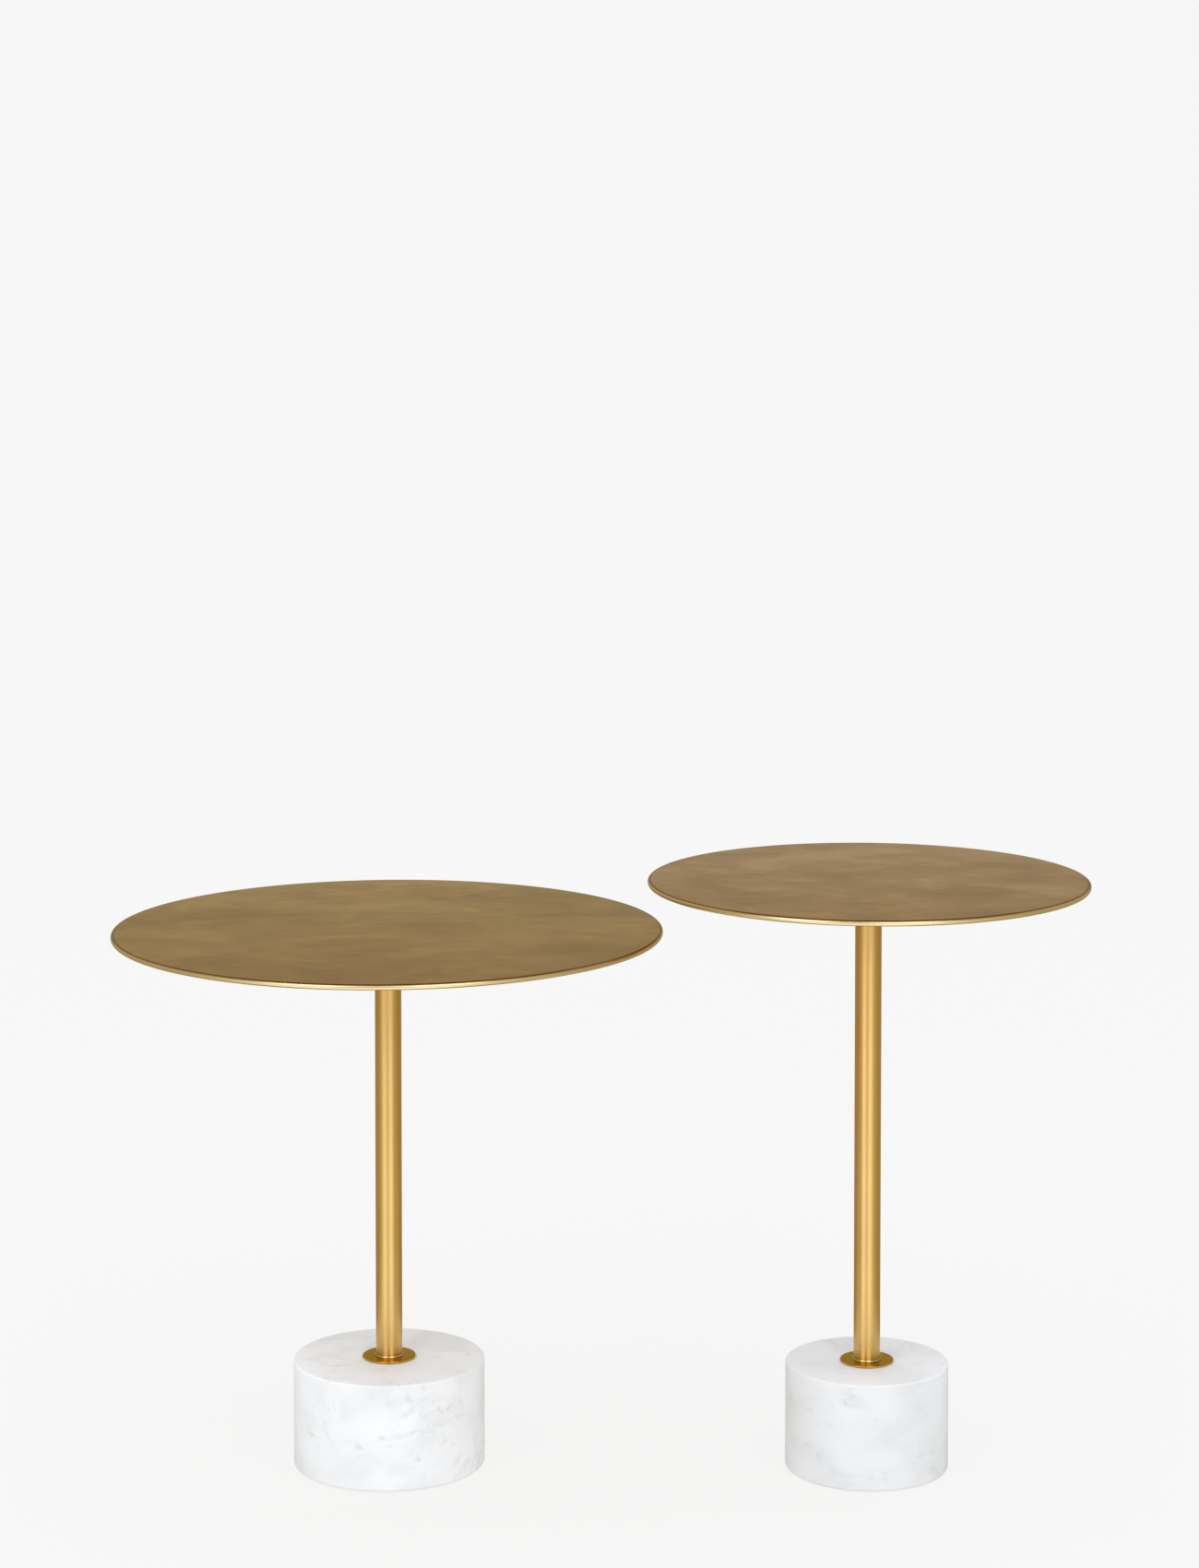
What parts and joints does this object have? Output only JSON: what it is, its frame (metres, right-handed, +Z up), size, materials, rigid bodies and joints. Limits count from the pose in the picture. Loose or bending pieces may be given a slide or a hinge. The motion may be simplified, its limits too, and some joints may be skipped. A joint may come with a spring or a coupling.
{
  "type": "nesting side tables",
  "caption": "Nesting side tables: thin round brass tops on slim stems over white marble drum bases, the taller one sliding over the lower.",
  "frame": {"origin": "on the floor, midway along the pair and on the line that joins the two tables' axes", "axes": "+X from the low table to the tall one, +Z up out of the tabletops, +Y across the pair so that X, Y and Z are right-handed"},
  "size_m": [0.886, 0.5, 0.54],
  "materials": {
    "top_brass": "antique brown brass, softly mottled and finely brushed",
    "stem_brass": "satin brass",
    "flange_brass": "polished brass",
    "white_marble": "honed white marble with faint grey veins and specks",
    "zinc_steel": "zinc-plated steel",
    "seal_silicone": "milky silicone",
    "pad_felt": "dense grey felt"
  },
  "bodies": {
    "low_table": {"low_tabletop": "top_brass", "low_mounting_plate": "zinc_steel", "low_plate_screw_1": "zinc_steel", "low_plate_screw_2": "zinc_steel", "low_plate_screw_3": "zinc_steel", "low_plate_screw_4": "zinc_steel", "low_stem_bolt": "zinc_steel", "low_stem_top_plug": "zinc_steel", "low_stem_tube": "stem_brass", "low_stem_foot_plug": "zinc_steel", "low_foot_collar": "flange_brass", "low_base_flange": "flange_brass", "low_flange_gasket": "seal_silicone", "low_marble_base": "white_marble", "low_load_washer": "zinc_steel", "low_lock_washer": "zinc_steel", "low_tie_bolt": "zinc_steel", "low_foot_pad_1": "pad_felt", "low_foot_pad_2": "pad_felt", "low_foot_pad_3": "pad_felt", "low_foot_pad_4": "pad_felt"},
    "tall_table": {"tall_tabletop": "top_brass", "tall_mounting_plate": "zinc_steel", "tall_plate_screw_1": "zinc_steel", "tall_plate_screw_2": "zinc_steel", "tall_plate_screw_3": "zinc_steel", "tall_plate_screw_4": "zinc_steel", "tall_stem_bolt": "zinc_steel", "tall_stem_top_plug": "zinc_steel", "tall_stem_tube": "stem_brass", "tall_stem_foot_plug": "zinc_steel", "tall_foot_collar": "flange_brass", "tall_base_flange": "flange_brass", "tall_flange_gasket": "seal_silicone", "tall_marble_base": "white_marble", "tall_load_washer": "zinc_steel", "tall_lock_washer": "zinc_steel", "tall_tie_bolt": "zinc_steel", "tall_foot_pad_1": "pad_felt", "tall_foot_pad_2": "pad_felt", "tall_foot_pad_3": "pad_felt", "tall_foot_pad_4": "pad_felt"}
  },
  "joints": [
    {"name": "nest_slide", "type": "slide", "parent": "low_table", "child": "tall_table", "axis": [-1, 0, 0], "range_m": [-0.2, 0.17]}
  ]
}
